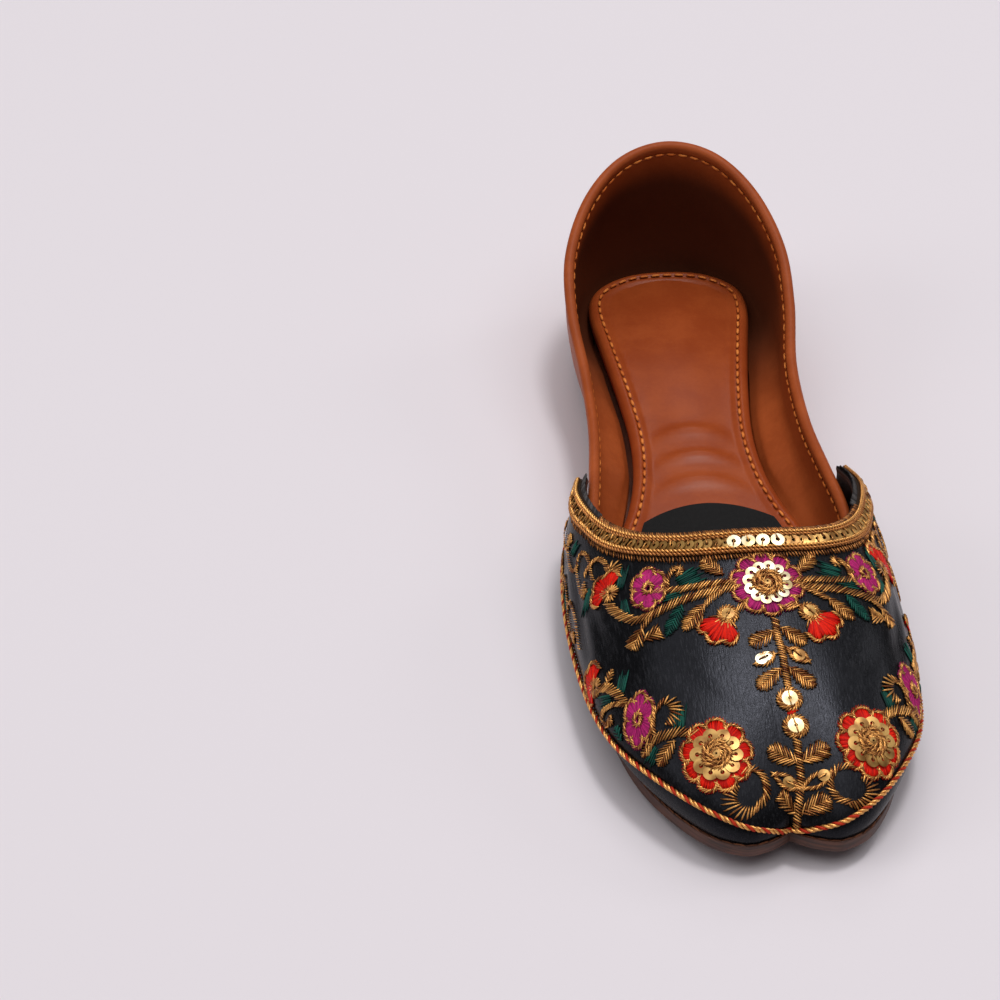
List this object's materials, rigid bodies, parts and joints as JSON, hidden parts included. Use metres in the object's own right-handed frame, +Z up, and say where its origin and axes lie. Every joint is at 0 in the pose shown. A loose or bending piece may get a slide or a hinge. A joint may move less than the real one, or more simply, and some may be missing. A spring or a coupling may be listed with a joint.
{
  "type": "mojari shoe",
  "caption": "Flat slip-on mojari shoe with a black embroidered leather vamp, a brown leather quarter, a padded brown insole and a notched toe.",
  "frame": {"origin": "on the floor plane at the sole's flat bottom, at mid length, on the centre line of the last", "axes": "+Z up, +Y from the toe towards the heel, +X towards the wearer's left as the shoe is worn"},
  "size_m": [0.0928, 0.2547, 0.0569],
  "materials": {
    "sole_leather": "matt brown sole leather with a light stitched edge",
    "lining_leather": "matt brown lining leather",
    "insole_leather": "smooth brown leather with a soft shine",
    "patch_cloth": "matt black cloth",
    "quarter_leather": "smooth brown leather with a rolled, polished rim",
    "vamp_leather": "glossy black leather with a fine grain",
    "gold_thread": "twisted antique gold thread",
    "seam_thread": "gold and red twisted thread",
    "red_thread": "red floss in satin stitch",
    "magenta_thread": "magenta floss in satin stitch",
    "green_thread": "dark green floss",
    "sequin": "shiny pale gold sequins",
    "tan_stitch": "waxed tan sewing thread"
  },
  "bodies": {
    "root": {"outsole": "sole_leather", "insole_board": "lining_leather", "insole": "insole_leather", "insole_patch": "patch_cloth", "quarter": "quarter_leather", "vamp": "vamp_leather", "throat_braid": "gold_thread", "seam_cord": "seam_thread"}
  },
  "joints": []
}
